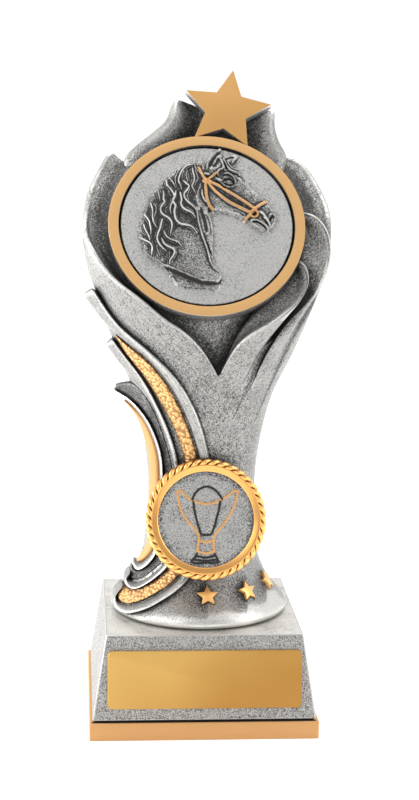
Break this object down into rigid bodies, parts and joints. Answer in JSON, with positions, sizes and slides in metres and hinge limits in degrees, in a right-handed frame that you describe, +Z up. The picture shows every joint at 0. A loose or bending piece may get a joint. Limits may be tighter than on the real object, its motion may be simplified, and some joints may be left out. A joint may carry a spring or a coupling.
{
  "type": "trophy",
  "caption": "Horse trophy on its plinth: cast silver tower of petals and ribbons with a framed horse-head relief, a gold star, a cup medallion and a blank gold name plate.",
  "frame": {"origin": "centre of the plinth's underside, on the surface that it stands on", "axes": "+Z up, -Y out of the front with the horse and the name plate, +X to the right seen from the front"},
  "size_m": [0.0657, 0.0612, 0.172],
  "materials": {
    "antique_silver": "resin painted silver, darkened in its hollows and rubbed bright on its edges",
    "antique_silver_disc": "resin relief painted silver, darkened in its hollows, with a gold painted bridle",
    "antique_silver_small_disc": "resin painted silver with a fine dark speckle, its cup drawn in gold and black lines",
    "polished_gold": "bright gold plating on a rope-edged holder",
    "gold_plate": "satin gold sheet, blank",
    "antique_silver_plinth": "resin painted silver with a dark speckle, the base band painted gold"
  },
  "bodies": {
    "root": {"plinth": "antique_silver_plinth", "name_plate": "gold_plate", "tower": "antique_silver", "horse_disc": "antique_silver_disc", "cup_bezel": "polished_gold", "cup_disc": "antique_silver_small_disc"}
  },
  "joints": []
}
